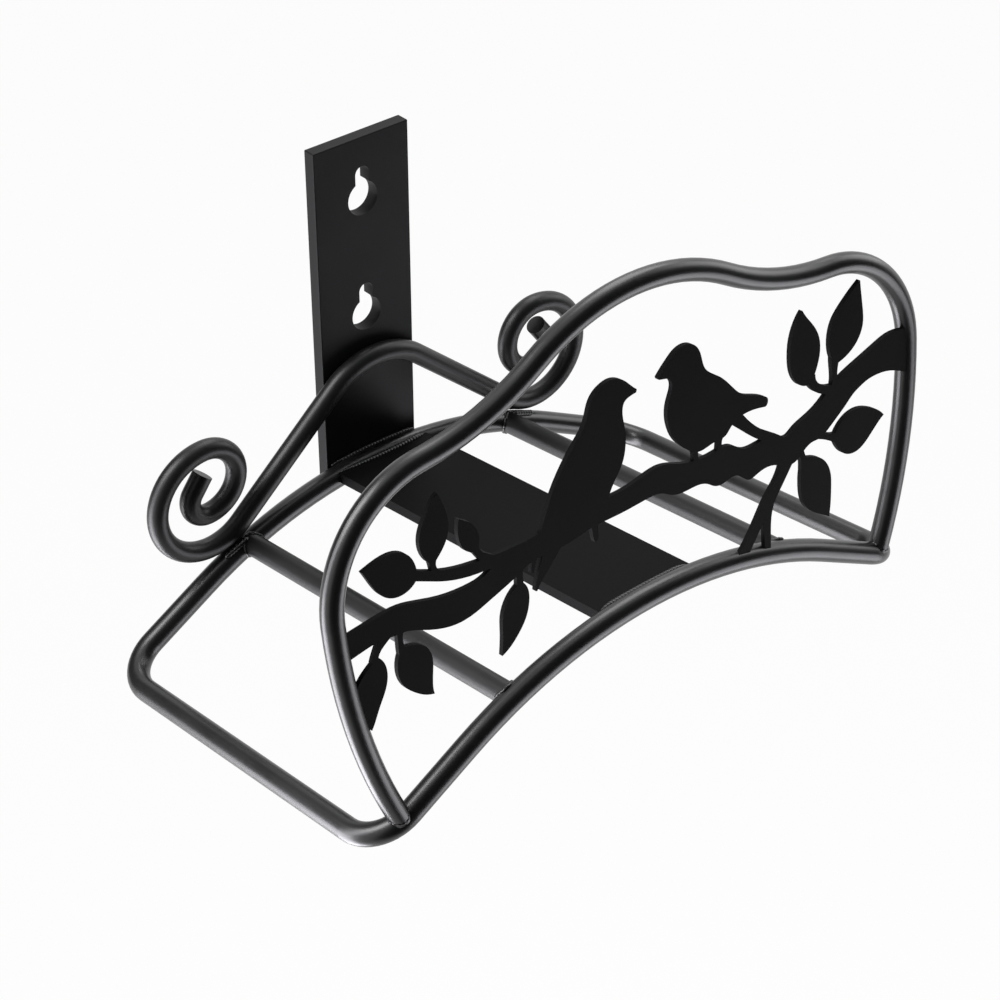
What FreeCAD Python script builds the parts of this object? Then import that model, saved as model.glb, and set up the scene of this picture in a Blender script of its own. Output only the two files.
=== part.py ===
import FreeCAD, Part
import math
import os

# Wall-mounted garden hose hanger, welded from bent steel rod, flat bar and one cut sheet.
# X runs to the right, Y into the wall and Z up; the origin is on the wall plate's back, midway between
# the keyholes.
# Sizes are in millimetres and angles in degrees.

# Stock
ROD_D = 9.5             # saddle and cross rods
LIGHT_ROD_D = 8.8       # scroll rod and front frame
BAR_W = 48.0
BAR_T = 4.5
SHEET_T = 2.0
SEAT_GAP = 0.2          # paint and fit-up gap between pieces that lie against each other
COPE_DEPTH = 3.0        # how far a butted end reaches round the rod that it meets

# Wall plate
PLATE_H = 158.0
PLATE_T = 6.0
PLATE_EDGE_R = 0.5
PLATE_BELOW_CROWN = 8.0  # the plate's lower end below the rear arch's crown
KEYHOLE_R = 7.5
KEYHOLE_SLOT_W = 7.0
KEYHOLE_RISE = 11.0      # from the round's centre to the centre of the slot's end
KEYHOLE_FROM_TOP = 27.5  # from the plate's top to the upper round's centre
KEYHOLE_SPACING = 54.0

# Saddle that the hose lies on: two arches joined by side runs, all one closed rod
SADDLE_TILT = 7.0        # the front is raised by this angle
SADDLE_DEPTH = 170.0     # between the arches' centrelines
ARCH_R = 213.0
ARCH_HALF_ANGLE = 26.5   # of the round middle; straight shoulders go on from it
SHOULDER_L = 32.0
CORNER_R = 18.0
CROSS_ROD_X = 71.0

# Rear rod: an inverted V with a scroll at each end
APEX_UP = 50.5           # above the rear arch's crown
APEX_R = 34.0
SCROLL_X = 89.0
SCROLL_OUTER_R = 24.0
SCROLL_MIDDLE_R = 15.5
SCROLL_INNER_R = 8.0
SCROLL_LAST_TURN = 127.0
SCROLL_END_L = 9.0

# Front frame, measured from the front arch's crown
HUMP_UP = 132.0
HUMP_R = 94.0
DIP_R = 122.0
LOBE_X = 99.0
LOBE_UP = 55.0
LOBE_R = 47.5
LEG_R = 240.0

# Bird and branch panel: where its drawing's zero lies, from the front arch's crown
PANEL_UNIT = 1.0         # length of one unit of the drawing
PANEL_X = -2.3
PANEL_UP = -34.9
PANEL_FORWARD = 1.0      # the sheet's back in front of the rods' centre plane

# The branch's two long edges, from left to right; both ends run past the front frame, which trims them
BRANCH_TOP = [(-190, 82), (-150, 85), (-143, 85.5), (-137, 86.1), (-130, 86.8), (-123, 87.3), (-117, 87),
              (-111, 85.6), (-105, 83.8), (-98, 82.1), (-91, 81.2), (-85, 81), (-80, 81.6), (-76, 83.5),
              (-72, 86.2), (-68, 87.5), (-60, 87.5), (-54, 87.7), (-40, 88), (-17.6, 88.2), (-10, 88.2),
              (-4, 88.9), (2, 90), (8, 90.4), (14, 89), (20, 86.7), (25, 85.4), (30, 84.6), (36, 84.5),
              (42, 84.8), (46, 83.8), (50, 81), (53.5, 79.3), (58, 78.9), (64, 79.1), (70, 78),
              (76.5, 75.4), (80, 77.1), (86, 79.2), (92, 81.2), (97, 84), (101, 86.8), (105, 88.8),
              (110, 90.7), (117, 92.8), (124, 94.8), (130, 96.6), (136, 97.7), (143, 97), (150, 95),
              (190, 80)]
BRANCH_BOTTOM = [(-190, 73), (-150, 75), (-143, 75.5), (-136, 76.5), (-128, 77.2), (-121.5, 76.4),
                 (-117, 76), (-112, 74.5), (-107, 72.2), (-102, 70.2), (-97, 68.8), (-91, 68.2),
                 (-85, 68.9), (-78, 70.8), (-70, 73.2), (-63, 75.6), (-57, 77.8), (-50, 78), (-43, 77.7),
                 (-36, 78), (-29, 79), (-22, 79.2), (-15, 79), (-8, 79), (-1, 79.3), (5, 79.3), (9, 78.3),
                 (13, 76), (18, 74.4), (24, 74.2), (29, 73.8), (32.5, 72.4), (36, 70), (40, 69.1),
                 (44.5, 69.9), (48, 69.6), (51.5, 67), (55, 64.8), (59, 65.5), (64, 66.3), (69, 65.4),
                 (74, 63), (80, 62), (84, 64), (87, 66), (90.5, 67), (94.5, 66.9), (98, 68.2), (104, 72),
                 (110, 76), (114, 79), (118, 80.8), (122.5, 82.1), (128, 82.4), (133, 81.8), (138, 80.3),
                 (143, 78), (150, 74), (190, 50)]

# Birds: the back from the beak's tip to the tail, then the breast from the belly to the beak's tip
LEFT_BIRD_BACK = [(-0.8, 126.6), (-3, 128.6), (-6, 131.8), (-9.5, 134.2), (-13, 135.2), (-17, 134.7),
                  (-21, 132.8), (-24, 129.2), (-25.8, 124.6), (-28.3, 120.4), (-33, 115.8), (-37.5, 111),
                  (-42, 105.4), (-46, 99), (-49, 93), (-51.2, 88.8), (-54, 83)]
LEFT_BIRD_BREAST = [(-21, 83), (-17.4, 89.2), (-15, 93), (-12, 96.6), (-9.8, 100), (-8.4, 104),
                    (-7.7, 108.5), (-7.8, 113), (-8.4, 117.5), (-8.4, 121), (-7.2, 123.8), (-4.5, 125),
                    (-1.2, 125.4)]
RIGHT_BIRD_BACK = [(10, 126.9), (12.5, 129.2), (16, 132), (19.5, 134.3), (23, 135.2), (27, 134.5),
                   (30, 132.3), (31.8, 129), (32.6, 125.6), (33.7, 122), (36, 119.3), (41, 115.5),
                   (46.5, 109.8), (51, 104.7), (54.5, 102.3), (60, 100), (64, 98), (65.8, 96.8)]
RIGHT_BIRD_TAIL = [(65.8, 96.8), (66.4, 95.3), (65.9, 93.7), (64.8, 93)]
RIGHT_BIRD_BELLY = [(64.8, 93), (59, 94.2), (53, 94.4), (46.8, 92.4), (43, 89.2), (37, 88.8), (31, 88),
                    (26, 88.9)]
RIGHT_BIRD_BREAST = [(26, 88.9), (23, 91.2), (20, 94), (17, 97.6), (14.8, 102), (13.6, 107), (13.7, 112),
                     (15, 116), (16.6, 119.6), (16.7, 122.3), (15.4, 124.3), (13, 125.3), (10.3, 126)]

# Leaves: base, tip, and half-widths on the left and the right of the line between them, at the stations
LEAF_STATIONS = (0.1, 0.3, 0.5, 0.7, 0.88)
LEAVES = [((-108.5, 94.5), (-131.5, 107), (5.1, 8, 7.9, 5.5, 2.2), (4.4, 8.1, 8.6, 6.6, 3)),
          ((-101, 96.5), (-96, 123.3), (3.8, 6.8, 7, 5.2, 2.8), (2.1, 5.2, 5.9, 4.5, 2)),
          ((-81, 93), (-88, 109.5), (2, 4.1, 4.2, 3.3, 1.6), (1.7, 3.7, 4, 3.2, 1.4)),
          ((-129.5, 71.5), (-135.5, 43.3), (3.4, 5.4, 4.8, 2.8, 1.3), (2.8, 7.4, 8.9, 7, 3.8)),
          ((-118.5, 70), (-106.5, 44.8), (4, 7.6, 7.4, 4.4, 1.2), (3.9, 7.1, 7.6, 5.9, 3.2)),
          ((-62.5, 72), (-74.3, 45.3), (4.5, 6.9, 7.1, 5.5, 2.9), (2.5, 4.7, 4.5, 2.5, 0.9)),
          ((90.5, 93), (86.5, 126), (6.9, 9.7, 9.5, 7.8, 4.3), (2.6, 6.2, 7.2, 5.3, 1.9)),
          ((104, 96), (119, 127.2), (4.3, 8, 8.6, 6.1, 2.7), (4.6, 9.1, 9.6, 6.4, 2.5)),
          ((102.5, 64), (132, 62.6), (4.2, 7.7, 8.1, 6.3, 3.3), (6.3, 10.6, 10.7, 7.2, 2.5)),
          ((85.3, 61.5), (99, 29), (4.8, 8.8, 8.9, 6.1, 2.8), (3.1, 6.8, 8.5, 6.8, 2.8))]

# Stems, legs, claws and tails: points of the middle line, each with its half-width
STRIPS = [[(-62, 84.5, 3), (-75, 86, 2.4), (-83, 86.9, 2.5), (-90, 88.2, 2.4), (-97, 90.3, 2.2),
           (-103, 92.8, 2), (-110, 96, 2)],
          [(-99.8, 92, 2.2), (-101, 95.2, 1.2), (-101, 98.5, 1.8)],
          [(-73.5, 84.5, 2.2), (-77.6, 88.6, 2), (-80.6, 92, 1.4), (-82, 95.5, 2)],
          [(-124, 80, 3.5), (-127, 76, 1.8), (-129.2, 73.2, 1.2), (-130.6, 69.5, 1.6)],
          [(-118.6, 80, 2.2), (-118.7, 75, 1.2), (-118.8, 71.5, 1.2), (-118.2, 67.5, 1.7)],
          [(-63, 79, 2.5), (-63, 74.5, 1.5), (-63, 69.5, 1.8)],
          [(104, 85.5, 2.5), (98.5, 87, 1.8), (95, 88.9, 1.8), (92.3, 91.3, 1.9), (90.6, 95, 2.5)],
          [(103.5, 86, 2.2), (103.8, 92, 1.4), (104, 96, 1.9), (104.5, 99, 2.5)],
          [(92.5, 69.2, 1.8), (98, 66.4, 1.4), (101.5, 64.5, 1.6), (105, 63, 2.5)],
          [(82.5, 67, 2.5), (84.3, 64, 1.4), (85.3, 61, 1.6), (86.5, 58, 3)],
          [(-25.6, 82, 2.4), (-25.5, 78.2, 1.5), (-25.4, 75, 1.3), (-25.3, 72.7, 0.9)],
          [(-54.6, 80, 1.2), (-56, 76.4, 0.9), (-57, 73.2, 0.5)],
          [(27, 90.5, 1.9), (27.1, 87, 1.1), (27, 83.5, 1.9)],
          [(41.3, 91, 2.2), (40, 88.2, 1.1), (39.7, 86, 1.1), (39.9, 83, 1.9)],
          [(48.5, 95, 3.2), (51.5, 91.7, 2.6), (57.5, 85.6, 2.1), (61.5, 82.2, 2.1), (66, 79, 2.2),
           (73, 74, 2.2)],
          [(-43, 84, 4.5), (-48.5, 76.5, 3.4), (-52, 71.5, 2.2), (-54.3, 68, 1.2), (-55.8, 64.8, 0.4)]]
# The forked root; each tine ends on the front arch at the given X
TINES = [([(76, 65, 4), (71.3, 57.2, 2.7), (66.8, 52.2, 2.9), (62, 46.5, 2.8), (58.3, 42, 2.4),
           (54.3, 37, 2.4)], 45.5, 3.2),
         ([(66, 51, 3), (64.3, 45, 2.3), (63.8, 38, 1.9)], 61.0, 1.6)]

# Worked out from the sizes above
ROD_R = ROD_D / 2
LIGHT_ROD_R = LIGHT_ROD_D / 2
REAR_ROD_Y = -(PLATE_T + SEAT_GAP + ROD_R)
SCROLL_ROD_Y = -(PLATE_T + SEAT_GAP + LIGHT_ROD_R)
PLATE_TOP = KEYHOLE_FROM_TOP + KEYHOLE_SPACING / 2
PLATE_BOTTOM = PLATE_TOP - PLATE_H
CROWN_Z = PLATE_BOTTOM + PLATE_BELOW_CROWN
LOBE_CENTRE = FreeCAD.Vector(LOBE_X, 0, LOBE_UP)
LEG_CENTRE = FreeCAD.Vector(LOBE_X + LOBE_R - LEG_R, 0, LOBE_UP)
X_AXIS = FreeCAD.Vector(1, 0, 0)
Y_AXIS = FreeCAD.Vector(0, 1, 0)
ZERO = FreeCAD.Vector(0, 0, 0)


# Plane geometry: points and headings in the XZ plane, with a heading of 0 along +X
def heading(angle):
    turn = math.radians(angle)
    return FreeCAD.Vector(math.cos(turn), 0, math.sin(turn))


SHOULDER = FreeCAD.Vector(0, 0, -ARCH_R) + heading(90 - ARCH_HALF_ANGLE) * ARCH_R


def angle_of(vector):
    return math.degrees(math.atan2(vector.z, vector.x))


def circles_meet(centre_a, radius_a, centre_b, radius_b):
    """The point, on the left of the line from a to b, where two circles cross."""
    line = centre_b - centre_a
    along = (radius_a ** 2 - radius_b ** 2 + line.Length ** 2) / (2 * line.Length)
    aside = math.sqrt(radius_a ** 2 - along ** 2)
    base = angle_of(line)
    return centre_a + heading(base) * along + heading(base + 90) * aside


def line_leaves(start, angle, centre, radius):
    """The point where a line with a heading goes out of a circle."""
    way = heading(angle)
    offset = start - centre
    back = offset.dot(way)
    return start + way * (math.sqrt(back ** 2 - offset.dot(offset) + radius ** 2) - back)


def path(start, angle, steps):
    """Edges from a start and a heading: (length,) is a straight run and (radius, turn) a bend."""
    edges = []
    here = start
    for step in steps:
        if len(step) == 1:
            there = here + heading(angle) * step[0]
            edges.append(Part.LineSegment(here, there).toShape())
        else:
            radius, turn = step
            side = math.copysign(90, turn)
            centre = here + heading(angle + side) * radius
            middle = centre + heading(angle - side + turn / 2) * radius
            there = centre + heading(angle - side + turn) * radius
            edges.append(Part.Arc(here, middle, there).toShape())
            angle += turn
        here = there
    return edges


def mirrored(shape):
    return shape.mirror(ZERO, X_AXIS)


def both_sides(edges):
    return [mirrored(edge) for edge in reversed(edges)] + edges


def rod(edges, radius):
    """A round rod bent along a chain of edges."""
    wire = Part.Wire(Part.__sortEdges__(edges))
    first = wire.OrderedEdges[0]
    at = first.firstVertex(True).Point
    along = first.tangentAt(first.FirstParameter)
    section = Part.Face(Part.Wire(Part.makeCircle(radius, at, along)))
    return wire.makePipe(section)


def arch_height(x):
    """Height of an arch's centreline, from its crown."""
    if abs(x) < SHOULDER.x:
        return math.sqrt(ARCH_R ** 2 - x ** 2) - ARCH_R
    return SHOULDER.z - (abs(x) - SHOULDER.x) * math.tan(math.radians(ARCH_HALF_ANGLE))


# Pieces in the wall plate's own place
def wall_plate():
    plate = Part.makeBox(BAR_W, PLATE_T, PLATE_H, FreeCAD.Vector(-BAR_W / 2, -PLATE_T, PLATE_BOTTOM))
    plate = plate.makeFillet(PLATE_EDGE_R, plate.Edges)
    for height in (-KEYHOLE_SPACING / 2, KEYHOLE_SPACING / 2):
        entry = FreeCAD.Vector(0, -PLATE_T, height)
        seat = entry + FreeCAD.Vector(0, 0, KEYHOLE_RISE)
        corner = entry - X_AXIS * (KEYHOLE_SLOT_W / 2)
        plate = plate.cut([Part.makeCylinder(KEYHOLE_R, PLATE_T, entry, Y_AXIS),
                           Part.makeCylinder(KEYHOLE_SLOT_W / 2, PLATE_T, seat, Y_AXIS),
                           Part.makeBox(KEYHOLE_SLOT_W, PLATE_T, KEYHOLE_RISE, corner)])
    return plate


def scroll_rod():
    """The V's sides run straight from the apex bend to the scrolls, which rest on the rear arch."""
    apex_centre = FreeCAD.Vector(0, 0, APEX_UP - APEX_R)
    rest = ARCH_R + ROD_R + SEAT_GAP + LIGHT_ROD_R + SCROLL_OUTER_R
    scroll_up = math.sqrt(rest ** 2 - SCROLL_X ** 2) - ARCH_R
    scroll_centre = FreeCAD.Vector(SCROLL_X, 0, scroll_up)
    line = scroll_centre - apex_centre
    radii = APEX_R + SCROLL_OUTER_R
    run = math.sqrt(line.Length ** 2 - radii ** 2)
    slope = math.degrees(math.atan2(radii, run)) - angle_of(line)
    edges = path(FreeCAD.Vector(0, 0, APEX_UP), 0, [(APEX_R, -slope),
                                                    (run,),
                                                    (SCROLL_OUTER_R, slope + 180),
                                                    (SCROLL_MIDDLE_R, 180),
                                                    (SCROLL_INNER_R, SCROLL_LAST_TURN),
                                                    (SCROLL_END_L,)])
    bent = rod(both_sides(edges), LIGHT_ROD_R)
    bent.translate(FreeCAD.Vector(0, SCROLL_ROD_Y, CROWN_Z))
    return bent


# Pieces of the saddle, drawn level with the rear arch's crown at zero and then tilted into place
def in_place(shape):
    tilt = FreeCAD.Rotation(X_AXIS, -SADDLE_TILT)
    place = FreeCAD.Placement(FreeCAD.Vector(0, REAR_ROD_Y, CROWN_Z), tilt)
    return shape.transformed(place.toMatrix())


def corner(start, along, back):
    """A quarter bend from one heading to another; also gives its end."""
    half = math.radians(45)
    middle = start + (along * math.sin(half) + back * (1 - math.cos(half))) * CORNER_R
    end = start + (along + back) * CORNER_R
    return Part.Arc(start, middle, end).toShape(), end


def saddle_loop():
    arch = both_sides(path(ZERO, 0, [(ARCH_R, -ARCH_HALF_ANGLE), (SHOULDER_L,)]))
    forward = FreeCAD.Vector(0, -SADDLE_DEPTH, 0)
    front_arch = [edge.translated(forward) for edge in arch]
    down = heading(-ARCH_HALF_ANGLE)
    end = SHOULDER + down * SHOULDER_L
    rear_bend, rear_end = corner(end, down, -Y_AXIS)
    front_bend, front_end = corner(end + forward, down, Y_AXIS)
    side = [rear_bend, Part.LineSegment(rear_end, front_end).toShape(), front_bend]
    return rod(arch + side + front_arch + [mirrored(edge) for edge in side], ROD_R)


def saddle_bar(loop):
    inset = ROD_R - COPE_DEPTH
    bar = Part.makeBox(BAR_W, SADDLE_DEPTH - 2 * inset, BAR_T,
                       FreeCAD.Vector(-BAR_W / 2, inset - SADDLE_DEPTH, -BAR_T / 2))
    return bar.cut(loop)


def cross_rod(loop, side):
    inset = ROD_R - COPE_DEPTH
    start = FreeCAD.Vector(side * CROSS_ROD_X, -inset, arch_height(CROSS_ROD_X))
    return Part.makeCylinder(ROD_R, SADDLE_DEPTH - 2 * inset, start, -Y_AXIS).cut(loop)


def bow_line():
    """A cloud shape: hump, dips and lobes in tangent bends, with legs that stand on the front arch."""
    hump_centre = FreeCAD.Vector(0, 0, HUMP_UP - HUMP_R)
    dip_centre = circles_meet(hump_centre, HUMP_R + DIP_R, LOBE_CENTRE, LOBE_R + DIP_R)
    seat = SHOULDER + heading(90 - ARCH_HALF_ANGLE) * (ROD_R - COPE_DEPTH)
    foot = line_leaves(seat, -ARCH_HALF_ANGLE, LEG_CENTRE, LEG_R)
    hump_turn = 90 - angle_of(dip_centre - hump_centre)
    lobe_start = 90 - angle_of(dip_centre - LOBE_CENTRE)
    return both_sides(path(FreeCAD.Vector(0, 0, HUMP_UP), 0, [(HUMP_R, -hump_turn),
                                                              (DIP_R, hump_turn - lobe_start),
                                                              (LOBE_R, lobe_start - 90),
                                                              (LEG_R, angle_of(foot - LEG_CENTRE))]))


def front_frame(loop):
    bow = rod(bow_line(), LIGHT_ROD_R)
    bow.translate(FreeCAD.Vector(0, -SADDLE_DEPTH, 0))
    return bow.cut(loop)


# The panel, from flat outlines that are given the sheet's thickness and joined
def spot(x, z):
    return FreeCAD.Vector(PANEL_X + x * PANEL_UNIT, 0, PANEL_UP + z * PANEL_UNIT)


def curve(points):
    spline = Part.BSplineCurve()
    spline.interpolate(points)
    return spline.toShape()


def face(runs):
    """A face inside runs of points; each run is a curve and short gaps between runs are straight."""
    edges = []
    for run, following in zip(runs, runs[1:] + runs[:1]):
        edges.append(curve(run))
        if run[-1].distanceToPoint(following[0]) > Part.Precision.confusion():
            edges.append(Part.LineSegment(run[-1], following[0]).toShape())
    return Part.Face(Part.Wire(edges))


def outline(*runs):
    return face([[spot(*place) for place in run] for run in runs])


def leaf(base, tip, left, right):
    stalk = spot(*base)
    line = spot(*tip) - stalk
    across = heading(angle_of(line) + 90) * PANEL_UNIT
    sides = []
    for sign, halves in ((1, left), (-1, right)):
        inner = [stalk + line * along + across * (sign * half) for along, half in zip(LEAF_STATIONS, halves)]
        sides.append([stalk] + inner + [spot(*tip)])
    return face([sides[0], sides[1][::-1]])


def strip(middle, halves):
    """A band along points of its middle line, with its half-width at each."""
    left = []
    right = []
    for index, half in enumerate(halves):
        before = middle[max(index - 1, 0)]
        after = middle[min(index + 1, len(middle) - 1)]
        across = heading(angle_of(after - before) + 90) * (half * PANEL_UNIT)
        left.append(middle[index] + across)
        right.append(middle[index] - across)
    return face([left, right[::-1]])


def stem(points, foot=(), foot_half=()):
    middle = [spot(x, z) for x, z, half in points]
    halves = [half for x, z, half in points]
    return strip(middle + list(foot), halves + list(foot_half))


def tine(points, foot_x, foot_half):
    x = foot_x * PANEL_UNIT
    return stem(points, [FreeCAD.Vector(x, 0, arch_height(x))], [foot_half])


def window():
    """The flat region inside the front frame's centreline, closed by a straight line between its feet."""
    edges = bow_line()
    foot = edges[-1].Vertexes[-1].Point
    sill = Part.LineSegment(foot, FreeCAD.Vector(-foot.x, 0, foot.z)).toShape()
    return Part.Face(Part.Wire(Part.__sortEdges__(edges + [sill])))


def bird_panel(loop, bow):
    """The branch is trimmed at the front frame's centreline, and the sheet is then cut to the rods."""
    flats = [outline(LEFT_BIRD_BACK, LEFT_BIRD_BREAST),
             outline(RIGHT_BIRD_BACK, RIGHT_BIRD_TAIL, RIGHT_BIRD_BELLY, RIGHT_BIRD_BREAST)]
    flats += [leaf(*sizes) for sizes in LEAVES]
    flats += [stem(points) for points in STRIPS]
    flats += [tine(*sizes) for sizes in TINES]
    thickness = FreeCAD.Vector(0, -SHEET_T, 0)
    sheet = outline(BRANCH_TOP, BRANCH_BOTTOM[::-1]).extrude(thickness)
    sheet = sheet.multiFuse([flat.extrude(thickness) for flat in flats]).removeSplitter()
    sheet = sheet.common(window().extrude(thickness))
    sheet.translate(FreeCAD.Vector(0, -(SADDLE_DEPTH + PANEL_FORWARD), 0))
    return sheet.cut([loop, bow])


# The finished pieces
loop = saddle_loop()
bow = front_frame(loop)
pieces = {"wall_plate": wall_plate(),
          "scroll_rod": scroll_rod(),
          "saddle_bar": in_place(saddle_bar(loop)),
          "cross_rod_left": in_place(cross_rod(loop, -1)),
          "cross_rod_right": in_place(cross_rod(loop, 1)),
          "front_frame": in_place(bow),
          "bird_panel": in_place(bird_panel(loop, bow)),
          "saddle_loop": in_place(loop)}

os.makedirs("parts", exist_ok=True)
for name, shape in pieces.items():
    shape.exportStep("parts/" + name + ".step")
    print(name, shape.ShapeType, len(shape.Solids), shape.isValid(), round(shape.Volume, 1))
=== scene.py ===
# %% [markdown]
# # A garden wall hanger
# The hanger is welded from black steel: a flat plate for the wall, bent round rods that make a saddle,
# two scrolls and a cloud-shaped front frame, and one thin sheet cut into birds on a branch. The solids
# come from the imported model. This lesson gives them a camera, a studio, a powder-coat finish and weld
# beads. Lengths are in metres.

# %% Load the frame
import math

import bpy
from mathutils import Matrix, Vector


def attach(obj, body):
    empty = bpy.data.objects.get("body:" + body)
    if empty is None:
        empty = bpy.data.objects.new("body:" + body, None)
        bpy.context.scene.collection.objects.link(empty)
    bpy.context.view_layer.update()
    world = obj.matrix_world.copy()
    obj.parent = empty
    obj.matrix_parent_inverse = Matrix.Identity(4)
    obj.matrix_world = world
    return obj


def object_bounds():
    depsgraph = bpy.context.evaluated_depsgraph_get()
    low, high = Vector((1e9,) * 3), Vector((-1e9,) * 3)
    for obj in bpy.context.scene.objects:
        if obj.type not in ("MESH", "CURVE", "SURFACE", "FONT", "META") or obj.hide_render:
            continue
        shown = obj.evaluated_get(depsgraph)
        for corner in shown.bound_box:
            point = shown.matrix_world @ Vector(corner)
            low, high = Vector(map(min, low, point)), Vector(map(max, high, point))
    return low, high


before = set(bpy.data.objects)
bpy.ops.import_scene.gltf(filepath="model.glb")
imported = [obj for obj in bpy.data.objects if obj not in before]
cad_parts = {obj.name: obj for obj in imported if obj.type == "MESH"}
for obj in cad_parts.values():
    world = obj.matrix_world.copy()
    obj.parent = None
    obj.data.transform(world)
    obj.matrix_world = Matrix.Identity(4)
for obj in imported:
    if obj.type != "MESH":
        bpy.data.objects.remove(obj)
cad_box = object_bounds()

scene = bpy.context.scene
MIDDLE = sum(cad_box, Vector()) / 2
print("pieces:", sorted(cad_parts))

# %% [markdown]
# The camera stands to the left of the hanger and looks down on it through a long lens. A long lens far
# away keeps the front frame from looking much larger than the wall plate. The place and the lens were
# found by fitting the straight edges, the arch and the front frame to the photograph.

# %% Camera
EYE = Vector((-0.56181, -0.74354, 0.52411))
GAZE = Vector((0.535, 0.6214, -0.5724)).normalized()
LENS_MM, SENSOR_MM = 92.83, 36

camera = bpy.data.objects.new("camera", bpy.data.cameras.new("camera"))
camera.data.lens = LENS_MM
camera.data.sensor_width = SENSOR_MM
camera.location = EYE
camera.rotation_mode = "QUATERNION"
camera.rotation_quaternion = GAZE.to_track_quat("-Z", "Y")
scene.collection.objects.link(camera)
scene.camera = camera
scene.view_settings.view_transform = "Standard"
print("camera is", round((EYE - MIDDLE).length, 3), "m from the middle of the hanger")

# %% [markdown]
# Node networks get long when every node is placed by hand. This small class wraps one socket, so that
# arithmetic on it adds the Math nodes by itself, and its node method adds a node of any other kind. It
# serves the shaders and the Geometry Nodes tree alike.


# %% Sockets that can be used in arithmetic
class Wire:
    """One socket of a node tree; arithmetic on it adds Math nodes."""

    def __init__(self, tree, socket=None):
        self.tree = tree
        self.socket = socket

    def node(self, kind, settings=None, inputs=None, output=0):
        """A new node: its settings come first, then the values or links of its sockets."""
        made = self.tree.nodes.new(kind)
        for name, setting in (settings or {}).items():
            setattr(made, name, setting)
        for name, given in (inputs or {}).items():
            if isinstance(given, Wire):
                self.tree.links.new(given.socket, made.inputs[name])
            else:
                made.inputs[name].default_value = given
        return Wire(self.tree, made.outputs[output]) if made.outputs else made

    def math(self, operation, first, second=0.0):
        return self.node("ShaderNodeMath", {"operation": operation}, {0: first, 1: second})

    def __add__(self, other):
        return self.math("ADD", self, other)

    def __radd__(self, other):
        return self.math("ADD", other, self)

    def __sub__(self, other):
        return self.math("SUBTRACT", self, other)

    def __rsub__(self, other):
        return self.math("SUBTRACT", other, self)

    def __mul__(self, other):
        return self.math("MULTIPLY", self, other)

    def __rmul__(self, other):
        return self.math("MULTIPLY", other, self)

    def __truediv__(self, other):
        return self.math("DIVIDE", self, other)

    def __rtruediv__(self, other):
        return self.math("DIVIDE", other, self)


def empty_tree(owner):
    """A way into the node tree of a material or world, with no nodes left in it."""
    owner.use_nodes = True
    owner.node_tree.nodes.clear()
    return Wire(owner.node_tree)


print("a Wire takes + - * and / with numbers and other wires")

# %% [markdown]
# Black paint is shown by what it reflects. One soft box stands low in front, and five stand beside, above
# and behind. A round rod mirrors them in its flanks and a later cell's dark curtains in its middle, so it
# gets a dark core between two grey bands. The camera doesn't see the boxes themselves.

# %% Soft boxes
BOX_DISTANCE = 1.0
WHITE = (1, 1, 1, 1)
COOL = (0.95, 0.94, 1, 1)
# Each box's name, direction from the hanger's middle, width, height, watts and colour.
SOFT_BOXES = (
    ("front_softbox", (0.505, -0.695, -0.51), 0.6, 0.6, 4.6, COOL),
    ("low_softbox", (-0.68, 0.3, -0.67), 0.5, 1.3, 21, COOL),
    ("left_softbox", (-0.62, 0.26, 0.74), 0.5, 0.65, 11, WHITE),
    ("top_softbox", (0.5, 0.32, 0.8), 0.6, 0.6, 5, WHITE),
    ("right_softbox", (0.925, -0.13, 0.36), 0.5, 0.6, 2.2, WHITE),
    ("side_softbox", (-0.92, 0.33, 0.2), 0.35, 0.7, 5.6, COOL),
)


def softbox(name, towards, width, height, watts, colour):
    """A box in a direction from the hanger's middle, turned to face it."""
    away = Vector(towards).normalized()
    lamp = bpy.data.lights.new(name, "AREA")
    lamp.shape = "RECTANGLE"
    lamp.size = width
    lamp.size_y = height
    lamp.energy = watts
    lamp.color = colour[:3]
    holder = bpy.data.objects.new(name, lamp)
    holder.location = MIDDLE + away * BOX_DISTANCE
    holder.rotation_mode = "QUATERNION"
    holder.rotation_quaternion = (-away).to_track_quat("-Z", "Y")
    holder.visible_camera = False
    scene.collection.objects.link(holder)
    print(name, "at", [round(value, 2) for value in holder.location])


for box in SOFT_BOXES:
    softbox(*box)

# %% [markdown]
# The background is white, but it shouldn't flood the hanger with light. So the world asks what a ray is
# for: rays that show the background itself, straight or mirrored, see white, and rays that carry light
# get a dimmer sky.

# %% Background
SKY = 0.3


def background_rays(net):
    """1 for rays that show the background itself, and 0 for rays that carry light."""
    kinds = [net.node("ShaderNodeLightPath", output=name)
             for name in ("Is Camera Ray", "Is Glossy Ray", "Is Transmission Ray")]
    return kinds[0] + kinds[1] + kinds[2]


scene.world = scene.world or bpy.data.worlds.new("studio")
net = empty_tree(scene.world)
strength = background_rays(net) * (1 - SKY) + SKY
glow = net.node("ShaderNodeBackground", inputs={"Color": WHITE, "Strength": strength})
net.node("ShaderNodeOutputWorld", inputs={"Surface": glow})
print("sky at", SKY, "of white for rays that carry light")

# %% [markdown]
# The floor is far below, as under anything that hangs on a wall. It is plain white paper, so large that
# its edge stays out of sight. Most of what it shows is white as it stands; a small share is lit by the
# boxes, and takes the hanger's shadow.

# %% Floor
FLOOR_Z, FLOOR_SIZE = -1.3, 80
UP = Vector((0, 0, 1))
PAPER = (0.85, 0.85, 0.85, 1)
WHITE_SHARE = 0.96


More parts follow.
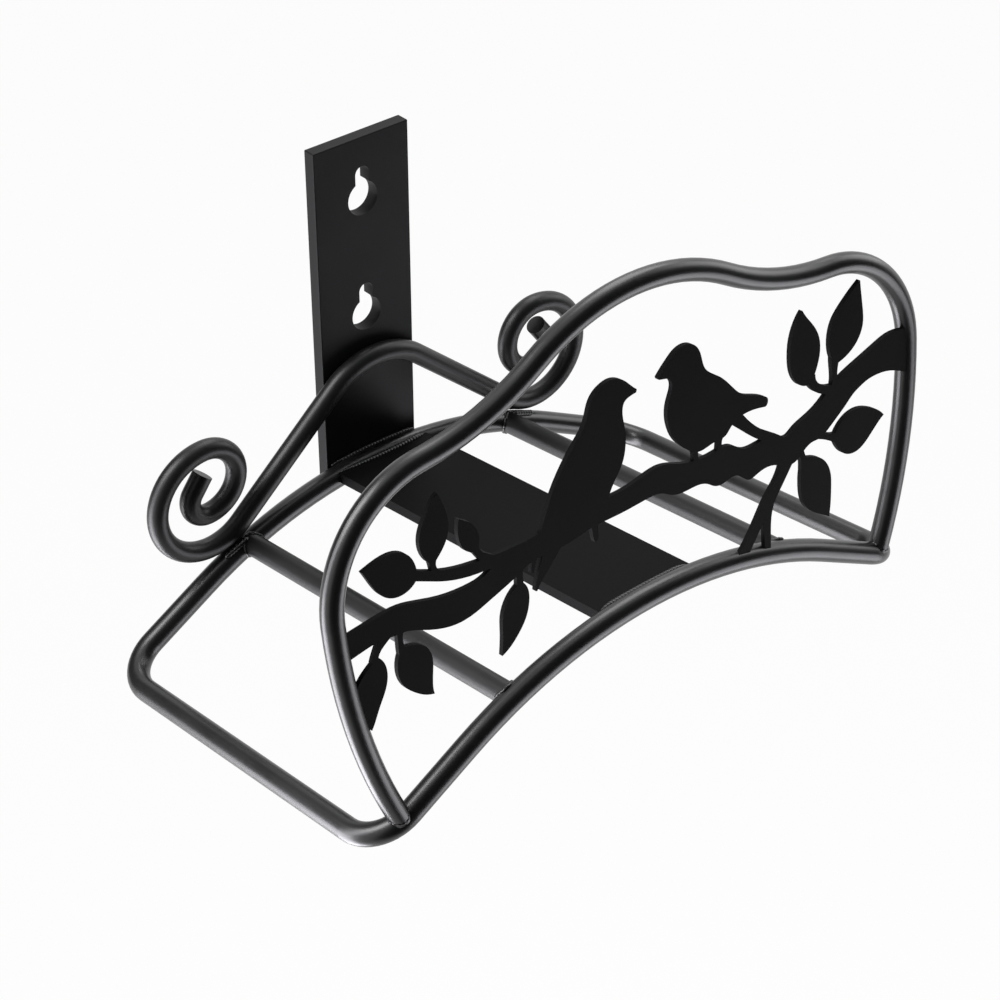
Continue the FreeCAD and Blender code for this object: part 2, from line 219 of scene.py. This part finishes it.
def flat_sheet(name, size, place, facing, surface):
    """A stage sheet, with the shader that surface makes for it."""
    bpy.ops.mesh.primitive_plane_add(size=size, location=place)
    sheet = bpy.context.object
    sheet.name = name
    sheet.rotation_mode = "QUATERNION"
    sheet.rotation_quaternion = facing.to_track_quat("Z", "Y")
    finish = bpy.data.materials.new(name + "_finish")
    net = empty_tree(finish)
    net.node("ShaderNodeOutputMaterial", inputs={"Surface": surface(net)})
    sheet.data.materials.append(finish)
    print(name, "is", size, "m wide")
    return sheet


def paper(net):
    lit = net.node("ShaderNodeBsdfDiffuse", inputs={"Color": PAPER})
    white = net.node("ShaderNodeEmission", inputs={"Color": WHITE, "Strength": 1.0})
    share = background_rays(net) * WHITE_SHARE
    return net.node("ShaderNodeMixShader", inputs={0: share, 1: lit, 2: white})


flat_sheet("floor", FLOOR_SIZE, (0, 0, FLOOR_Z), UP, paper)

# %% [markdown]
# A studio hangs black cloth where something shiny should look dark. One curtain hangs behind the camera,
# and a smaller one stands behind the hanger and to its left, for the rods that run front to back. Both
# are for reflections only: the camera doesn't see them, and they take no light away.

# %% Dark curtains
CLOTH = (0.01, 0.01, 0.01, 1)
CURTAIN_SIZE = 5
CURTAIN_PLACE = (0, -1.3, 1.2)
TO_WALL = Vector((0, 1, 0))
REAR_SIZE, REAR_DISTANCE = 1.6, 1.6
REAR = Vector((-0.41, 0.88, 0.26)).normalized()


def black_cloth(net):
    return net.node("ShaderNodeBsdfDiffuse", inputs={"Color": CLOTH})


curtains = [flat_sheet("dark_curtain", CURTAIN_SIZE, CURTAIN_PLACE, TO_WALL, black_cloth),
            flat_sheet("rear_curtain", REAR_SIZE, MIDDLE + REAR * REAR_DISTANCE, -REAR, black_cloth)]
for curtain in curtains:
    curtain.visible_camera = False
    curtain.visible_diffuse = False
    curtain.visible_shadow = False

# %% [markdown]
# Powder coat is baked plastic: black, satin, and slightly uneven like the peel of an orange. It could be
# painted on in pictures, but two noises fit any shape without a seam: a slow one lets tone and sheen
# drift, and a fine one is the peel.

# %% Powder coat
DRIFT_SCALE, DRIFT_DETAIL, DRIFT_SHEEN = 45.0, 3.0, 0.1
GRAIN_SCALE, GRAIN_DETAIL, GRAIN_SHEEN = 600.0, 1.0, 0.05
NOISE_MEAN = 0.5
TONE_SPREAD, BLUE_CAST = 0.2, 1.025
PEEL_DEPTH = 0.0001
# A Mix node's socket names repeat, so its colour sockets are given by their places.
MIX_FACTOR, MIX_DARK, MIX_LIGHT, MIX_RESULT = 0, 6, 7, 2


def near_black(level):
    return (level, level, level * BLUE_CAST, 1)


def noise(net, place, scale, detail):
    return net.node("ShaderNodeTexNoise", inputs={"Vector": place, "Scale": scale, "Detail": detail})


def powder_coat(name, black, sheen, gloss, peel):
    """A coat with a mean base colour and roughness, a specular level and a strength of the peel."""
    coat = bpy.data.materials.new(name)
    net = empty_tree(coat)
    place = net.node("ShaderNodeTexCoord", output="Object")
    drift = noise(net, place, DRIFT_SCALE, DRIFT_DETAIL)
    grain = noise(net, place, GRAIN_SCALE, GRAIN_DETAIL)
    tone = net.node("ShaderNodeMix", {"data_type": "RGBA"},
                    {MIX_FACTOR: drift,
                     MIX_DARK: near_black(black * (1 - TONE_SPREAD)),
                     MIX_LIGHT: near_black(black * (1 + TONE_SPREAD))}, output=MIX_RESULT)
    rough = sheen + (drift - NOISE_MEAN) * DRIFT_SHEEN + (grain - NOISE_MEAN) * GRAIN_SHEEN
    bump = net.node("ShaderNodeBump",
                    inputs={"Height": grain, "Strength": peel, "Distance": PEEL_DEPTH})
    shader = net.node("ShaderNodeBsdfPrincipled",
                      inputs={"Base Color": tone, "Roughness": rough,
                              "Specular IOR Level": gloss, "Normal": bump})
    net.node("ShaderNodeOutputMaterial", inputs={"Surface": shader})
    print(name, "has", len(coat.node_tree.nodes), "nodes")
    return coat


# %% [markdown]
# Stock of different shapes takes the powder differently. The saddle and the front frame are glossiest,
# the scrolls and the cross rods are softer, and the plate and the cut sheet are flattest. The flat bar
# wears the cut sheet's darker, flatter coat, partly as its own flat finish and partly as painted shade:
# the shade that a hose lying across it would cast. The solids keep their meshes, and only their material
# slots change.

# %% Coats of the pieces
rod_coat = powder_coat("satin_black_coat", black=0.006, sheen=0.32, gloss=0.5, peel=0.035)
bar_coat = powder_coat("bar_black_coat", black=0.007, sheen=0.45, gloss=0.09, peel=0.15)
sheet_coat_and_bar_shade = powder_coat("flat_black_coat", black=0.004, sheen=0.55, gloss=0.03, peel=0.15)
soft_coat = powder_coat("soft_black_coat", black=0.006, sheen=0.4, gloss=0.32, peel=0.035)
# On saddle_bar the cut sheet's darker, flatter coat is partly painted shade, the shade of a hose lying
# across it.
COATS = {"bird_panel": sheet_coat_and_bar_shade, "wall_plate": bar_coat, "saddle_bar": sheet_coat_and_bar_shade,
         "scroll_rod": soft_coat, "cross_rod_left": soft_coat, "cross_rod_right": soft_coat}

for name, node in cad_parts.items():
    node.data.materials.clear()
    node.data.materials.append(COATS.get(name, rod_coat))
    print(name, "wears", node.data.materials[0].name)

# %% [markdown]
# The pieces are joined by small weld beads under the same coat. A bead follows the line where two pieces
# meet: a ring where a rod butts on a rod, a seam where pieces lie side by side. Such lines could be drawn
# by eye, but worked out from the pieces' own sizes they sit in the joint from every side. First comes the
# saddle, which is drawn level and then tilted, so its lines are tilted with it.

# %% Sizes of the saddle
# Radii of the heavy and the light rod, and of the arches, with the distance from arch to arch.
ROD, LIGHT_ROD = 0.00475, 0.0044
ARCH, DEPTH = 0.213, 0.17
# The plate's thickness, and the paint and fit-up gap between pieces that lie against each other.
PLATE, GAP = 0.006, 0.0002
CROWN_Z, TILT = -0.0955, math.radians(-7)
SADDLE = Matrix.Translation((0, -(PLATE + GAP + ROD), CROWN_Z)) @ Matrix.Rotation(TILT, 4, "X")
SIDES = (-1, 1)


def along_arch(angle, out=0.0):
    """A point on an arch, at an angle from its crown, moved outwards."""
    return Vector((math.sin(angle) * (ARCH + out), 0, math.cos(angle) * (ARCH + out) - ARCH))


print("rear arch's crown at", [round(value, 4) for value in SADDLE @ along_arch(0)])

# %% [markdown]
# A ring is found point by point. From each point of the butting rod's rim, a run along that rod ends at
# the skin of the rod that it meets. Where the rim misses that skin, the run ends where the rod does.

# %% Rings at the cross rods
RING_POINTS = 40
# The cross rods' distance from the middle, and how far their ends reach round the arches.
CROSS_X, COPE = 0.071, 0.003


def joint_ring(end, way, radius, axis, least=0.0):
    """Where a rod that leaves a point cuts the skin of a saddle rod with that axis through the point."""
    aside = way.orthogonal().normalized()
    upward = way.cross(aside)
    lean = way - axis * way.dot(axis)
    ring = []
    for step in range(RING_POINTS):
        turn = math.tau * step / RING_POINTS
        rim = (aside * math.cos(turn) + upward * math.sin(turn)) * radius
        flat = rim - axis * rim.dot(axis)
        back = flat.dot(lean)
        room = max(0.0, back ** 2 - lean.dot(lean) * (flat.dot(flat) - ROD ** 2))
        run = max(least, (math.sqrt(room) - back) / lean.dot(lean))
        ring.append(SADDLE @ (end + rim + way * run))
    return ring


rings = []
for side in SIDES:
    bend = math.asin(CROSS_X / ARCH) * side
    axis = Vector((math.cos(bend), 0, -math.sin(bend)))
    for front in (0, 1):
        end = along_arch(bend) - Vector((0, DEPTH * front, 0))
        rings.append(joint_ring(end, Vector((0, 2 * front - 1, 0)), ROD, axis, ROD - COPE))
print(len(rings), "rings at the cross rods")

# %% [markdown]
# The frame's legs are long bends. Each foot is found where the bend meets the straight shoulder of the
# front arch, and the ring is laid round the leg's direction there.

# %% Feet of the front frame
SHOULDER_TURN = math.radians(26.5)
# The right leg's bend: its radius and its centre, seen from the front arch's crown.
LEG = 0.24
LEG_CENTRE = Vector((-0.0935, 0, 0.055))
# The rings lie a little inside the leg's skin, so that the beads don't add to the hanger's size.
FOOT_INSET = 0.0006

down = Vector((math.cos(SHOULDER_TURN), 0, -math.sin(SHOULDER_TURN)))
start = along_arch(SHOULDER_TURN) - LEG_CENTRE
back = start.dot(down)
foot = start + down * (math.sqrt(back ** 2 - start.dot(start) + LEG ** 2) - back)
leg = Vector((-foot.z, 0, foot.x)).normalized()
end = foot + LEG_CENTRE - Vector((0, DEPTH, 0))
for side in SIDES:
    mirror = Matrix.Diagonal((side, 1, 1))
    rings.append(joint_ring(mirror @ end, mirror @ leg, LIGHT_ROD - FOOT_INSET, mirror @ down))
print("feet at", [round(value, 4) for value in foot + LEG_CENTRE])

# %% [markdown]
# Seams run along the flat bar's ends, under the bend of the upper rod and along both sides of the rear
# arch where they cross the wall plate, and in the groove between each scroll and the rear arch. At the
# bar's ends, each point lies on the skin of the arch at the height of the bar's upper or lower face.

# %% Seams at the bar's ends
SEAM_POINTS = 24
BAR_WIDTH, BAR_THICKNESS = 0.048, 0.0045
SEAM_INSET = 0.0015


def evenly(half, count=SEAM_POINTS):
    """Values from minus half to half, equally far apart."""
    return [-half + 2 * half * step / (count - 1) for step in range(count)]


seams = []
for level in (-BAR_THICKNESS / 2, BAR_THICKNESS / 2):
    for front in (0, 1):
        seam = []
        for across in evenly(BAR_WIDTH / 2 - SEAM_INSET):
            drop = level - along_arch(math.asin(across / ARCH)).z
            reach = math.sqrt(ROD ** 2 - drop ** 2)
            seam.append(SADDLE @ Vector((across, reach - DEPTH if front else -reach, level)))
        seams.append(seam)
print(len(seams), "seams at the bar's ends")

# %% [markdown]
# Both rods on the wall plate are round and lie on it along a line, so a bead fills the groove beside that
# line: inside the upper rod's bend, and above and below the arch.

# %% Seams on the wall plate
# The upper rod's bend: its radius and its height over the arch's crown.
APEX, APEX_UP = 0.034, 0.0505
# How far from the rods' middle lines the seams lie, on the bend's inside and on both sides of the arch.
APEX_INSIDE, ASIDE = 0.0032, 0.0034
# Half angles of the seams, which end within the plate's width, and their places in front of the wall.
APEX_TURN, ARCH_TURN = 0.62, 0.104
APEX_SEAM_Y, ARCH_SEAM_Y = -0.0069, -0.007

apex_centre = Vector((0, APEX_SEAM_Y, CROWN_Z + APEX_UP - APEX))
apex = [Vector((math.sin(turn), 0, math.cos(turn))) for turn in evenly(APEX_TURN)]
seams.append([apex_centre + way * (APEX - APEX_INSIDE) for way in apex])
crown = Vector((0, ARCH_SEAM_Y, CROWN_Z))
for edge in SIDES:
    seams.append([crown + along_arch(turn, edge * ASIDE) for turn in evenly(ARCH_TURN)])
print(len(seams), "seams with those on the wall plate")

# %% [markdown]
# Each scroll's outer bend rests on the rear arch. The two circles touch on the line between their
# centres, and that gives the place and the direction of the seams on either side.

# %% Seams under the scrolls
# The outer bend's centre from the middle and its radius, and the seams' place and length.
SCROLL_X, SCROLL_BEND = 0.089, 0.024
SCROLL_SEAM_Y, SCROLL_SEAM = -0.0117, 0.013
SCROLL_POINTS = 12

rest = math.asin(SCROLL_X / (ARCH + ROD + GAP + LIGHT_ROD + SCROLL_BEND))
for side in SIDES:
    touch = along_arch(rest * side, ROD + GAP / 2) + Vector((0, SCROLL_SEAM_Y, CROWN_Z))
    along = Vector((math.cos(rest), 0, -math.sin(rest) * side))
    for edge in SIDES:
        beside = touch + Vector((0, edge * ASIDE, 0))
        seams.append([beside + along * run for run in evenly(SCROLL_SEAM / 2, SCROLL_POINTS)])
print(len(seams), "seams in all")

# %% [markdown]
# One Geometry Nodes tree lays a bead on any of these lines. It spaces points along the line, lets the
# radius ripple as a weld pool does, lets open ends taper off, and sweeps a circle along. A plain bevelled
# curve would be as smooth as a wire. The tree's sizes are inputs, so rings and seams share it.

# %% Inputs of the weld bead tree
bead_tree = bpy.data.node_groups.new("weld_bead", "GeometryNodeTree")
INPUTS = {}
for name, kind in (("Lines", "Geometry"), ("Bead Radius", "Float"), ("Ripple Length", "Float"),
                   ("Ripple Height", "Float"), ("Finish", "Material")):
    socket = bead_tree.interface.new_socket(name, in_out="INPUT", socket_type="NodeSocket" + kind)
    INPUTS[name] = socket.identifier
bead_tree.interface.new_socket("Beads", in_out="OUTPUT", socket_type="NodeSocketGeometry")

source = bead_tree.nodes.new("NodeGroupInput")
size = {name: Wire(bead_tree, source.outputs[name]) for name in INPUTS}
print("weld bead inputs:", list(INPUTS))

# %% [markdown]
# Along the line, a sine of the length travelled makes the ripple. The taper grows from each end with the
# share of the line that lies behind, and a closed ring has none.

# %% Weld bead tree
STEPS_PER_RIPPLE, PROFILE_POINTS = 6, 10
TAPER_RATE, BLUNT_END = 9, 0.02

net = Wire(bead_tree)
line = net.node("GeometryNodeMeshToCurve", inputs={"Mesh": size["Lines"]})
spacing = size["Ripple Length"] / STEPS_PER_RIPPLE
line = net.node("GeometryNodeResampleCurve", {"mode": "LENGTH"}, {"Curve": line, "Length": spacing})
travel = net.node("GeometryNodeSplineParameter", output="Length")
share = net.node("GeometryNodeSplineParameter", output="Factor")
closed = net.node("GeometryNodeInputSplineCyclic")
ripple = net.math("SINE", travel / size["Ripple Length"] * math.tau)
taper = net.math("MINIMUM", net.math("MINIMUM", share, 1 - share) * TAPER_RATE, 1.0)
taper = net.math("MAXIMUM", net.math("SQRT", taper + BLUNT_END), closed)
thickness = (1 + ripple * size["Ripple Height"]) * taper
profile = net.node("GeometryNodeCurvePrimitiveCircle",
                   inputs={"Resolution": PROFILE_POINTS, "Radius": size["Bead Radius"]})
bead = net.node("GeometryNodeCurveToMesh",
                inputs={"Curve": line, "Profile Curve": profile, "Fill Caps": True, "Scale": thickness})
bead = net.node("GeometryNodeSetShadeSmooth", inputs={"Geometry": bead})
bead = net.node("GeometryNodeRealizeInstances", inputs={"Geometry": bead})
bead = net.node("GeometryNodeSetMaterial", inputs={"Geometry": bead, "Material": size["Finish"]})
net.node("NodeGroupOutput", inputs={"Beads": bead})
print("weld bead tree:", len(bead_tree.nodes), "nodes")

# %% [markdown]
# Each set of lines becomes one plain mesh. The tree works as a modifier on the lines, its result is read
# from the evaluated object, and the modifier goes again. The hanger is one rigid body, so both sets ride
# on it, and they take the rods' own coat.

# %% Lay the beads
RIPPLE_LENGTH, RIPPLE_HEIGHT = 0.0016, 0.1
RING_BEAD, SEAM_BEAD = 0.0008, 0.0012


def weld(name, lines, closed, radius):
    """One piece with a bead on each line; closed lines join their last point to their first."""
    points, edges = [], []
    for one in lines:
        first = len(points)
        points += one
        edges += [(first + step, first + step + 1) for step in range(len(one) - 1)]
        if closed:
            edges.append((len(points) - 1, first))
    drawn = bpy.data.meshes.new(name + "_lines")
    drawn.from_pydata(points, edges, [])
    piece = bpy.data.objects.new(name, drawn)
    layer = piece.modifiers.new("weld_bead", "NODES")
    layer.node_group = bead_tree
    for label, setting in (("Bead Radius", radius), ("Ripple Length", RIPPLE_LENGTH),
                           ("Ripple Height", RIPPLE_HEIGHT), ("Finish", rod_coat)):
        layer[INPUTS[label]] = setting
    scene.collection.objects.link(piece)
    evaluated = piece.evaluated_get(bpy.context.evaluated_depsgraph_get())
    laid = bpy.data.meshes.new_from_object(evaluated)
    piece.modifiers.clear()
    piece.data = laid
    laid.name = name
    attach(piece, "root")
    print(name, "has", len(laid.polygons), "faces and", [slot.name for slot in laid.materials])


weld("ring_welds", rings, True, RING_BEAD)
weld("seam_welds", seams, False, SEAM_BEAD)
